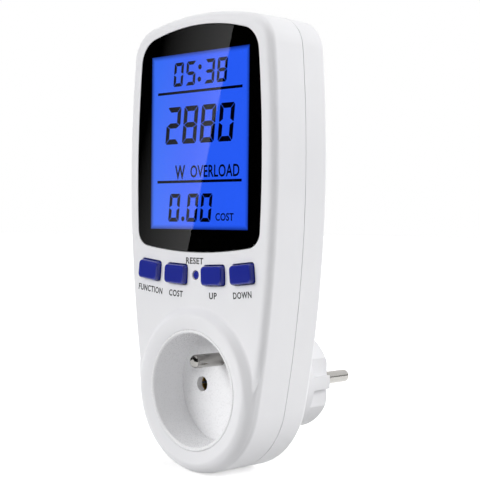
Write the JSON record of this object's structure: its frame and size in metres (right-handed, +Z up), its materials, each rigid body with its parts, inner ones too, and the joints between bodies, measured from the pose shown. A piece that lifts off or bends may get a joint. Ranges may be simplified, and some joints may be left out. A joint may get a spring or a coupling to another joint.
{
  "type": "plug-in power meter",
  "caption": "Tall plug-in power meter: wall plug on the back, earthed pass-through socket low on the front, dark window over a backlit display, and a bowed row of push buttons.",
  "frame": {"origin": "middle of the plug's face, halfway between its two pins", "axes": "+Y out of the back along the pins, into the wall; -Y out of the front face; +Z up; +X to the right seen from the front"},
  "size_m": [0.0748, 0.074, 0.1622],
  "materials": {
    "white_abs": "satin moulded",
    "socket_white": "satin moulded",
    "plug_white": "satin moulded",
    "window_clear": "polished",
    "mask_black": "printed",
    "display_blue": "polished",
    "light_guide": "polished",
    "frame_grey": "moulded",
    "button_blue": "satin moulded",
    "conductive_rubber": "moulded",
    "board_green": "solder mask",
    "carrier_grey": "moulded",
    "switch_black": "moulded",
    "nickel": "nickel plated",
    "brass": "stamped",
    "copper": "stamped",
    "steel": "zinc plated",
    "capacitor_yellow": "moulded",
    "can_blue": "sleeved",
    "varistor_blue": "dipped",
    "resistor_tan": "lacquered",
    "chip_black": "moulded"
  },
  "bodies": {
    "housing": {"front_cover": "white_abs", "rear_cover": "white_abs", "plug_body": "plug_white", "socket_cup": "socket_white", "contact_carrier": "carrier_grey", "socket_earth_pin": "nickel", "line_contact": "brass", "neutral_contact": "brass", "line_pin": "nickel", "neutral_pin": "nickel", "plug_earth_tube": "brass", "earth_clip": "nickel", "line_in_strap": "copper", "line_out_strap": "copper", "neutral_strap": "copper", "display_window": "window_clear", "display_mask": "mask_black", "lcd_panel": "display_blue", "backlight": "light_guide", "lcd_frame": "frame_grey", "zebra_strip": "conductive_rubber", "display_board": "board_green", "tact_switches": "switch_black", "power_board": "board_green", "board_link": "switch_black", "shunt": "copper", "dropper_capacitor": "capacitor_yellow", "smoothing_capacitor": "can_blue", "varistor": "varistor_blue", "fuse_resistor": "resistor_tan", "rectifier": "chip_black", "meter_chip": "chip_black", "controller_chip": "chip_black", "backup_battery": "steel", "board_screws": "steel", "cover_screws": "steel"},
    "function_key": {"function_button": "button_blue", "function_plunger": "switch_black"},
    "cost_key": {"cost_button": "button_blue", "cost_plunger": "switch_black"},
    "up_key": {"up_button": "button_blue", "up_plunger": "switch_black"},
    "down_key": {"down_button": "button_blue", "down_plunger": "switch_black"},
    "reset_key": {"reset_button": "button_blue", "reset_plunger": "switch_black"}
  },
  "joints": [
    {"name": "function_press", "type": "slide", "parent": "housing", "child": "function_key", "axis": [0, 1, 0], "range_m": [0, 0.0006], "stiffness_N_per_m": 400, "springref_m": -0.002},
    {"name": "cost_press", "type": "slide", "parent": "housing", "child": "cost_key", "axis": [0, 1, 0], "range_m": [0, 0.0006], "stiffness_N_per_m": 400, "springref_m": -0.002},
    {"name": "up_press", "type": "slide", "parent": "housing", "child": "up_key", "axis": [0, 1, 0], "range_m": [0, 0.0006], "stiffness_N_per_m": 400, "springref_m": -0.002},
    {"name": "down_press", "type": "slide", "parent": "housing", "child": "down_key", "axis": [0, 1, 0], "range_m": [0, 0.0006], "stiffness_N_per_m": 400, "springref_m": -0.002},
    {"name": "reset_press", "type": "slide", "parent": "housing", "child": "reset_key", "axis": [0, 1, 0], "range_m": [0, 0.0006], "stiffness_N_per_m": 400, "springref_m": -0.002}
  ]
}
